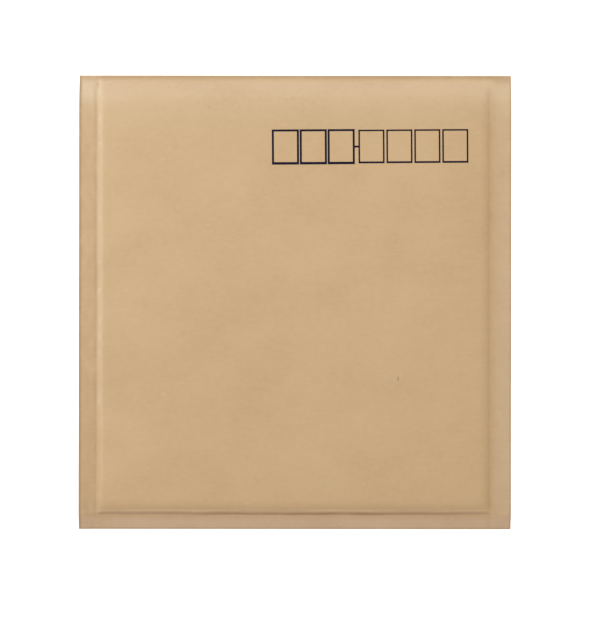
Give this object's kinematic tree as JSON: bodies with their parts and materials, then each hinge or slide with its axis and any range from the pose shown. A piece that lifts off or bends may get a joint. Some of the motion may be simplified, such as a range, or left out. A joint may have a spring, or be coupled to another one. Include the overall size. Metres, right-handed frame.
{
  "type": "padded mailing envelope",
  "caption": "Padded kraft mailing envelope lined with bubble film, lying on its back, with its gummed flap folded under and postcode boxes printed on the address side.",
  "frame": {"origin": "on the floor, under the middle of the outline", "axes": "+X to the right of the address side, +Y towards the folded top edge, +Z out of the address side"},
  "size_m": [0.195, 0.205, 0.0074],
  "materials": {
    "kraft_paper": "matt brown kraft paper with fine fibres",
    "bubble_film": "thin clear polyethylene film",
    "adhesive": "double-sided tape",
    "release_paper": "smooth coated paper"
  },
  "bodies": {
    "root": {"front_sheet": "kraft_paper", "back_sheet": "kraft_paper", "front_bubble_liner": "bubble_film", "back_bubble_liner": "bubble_film", "adhesive_strip": "adhesive", "release_liner": "release_paper"}
  },
  "joints": []
}
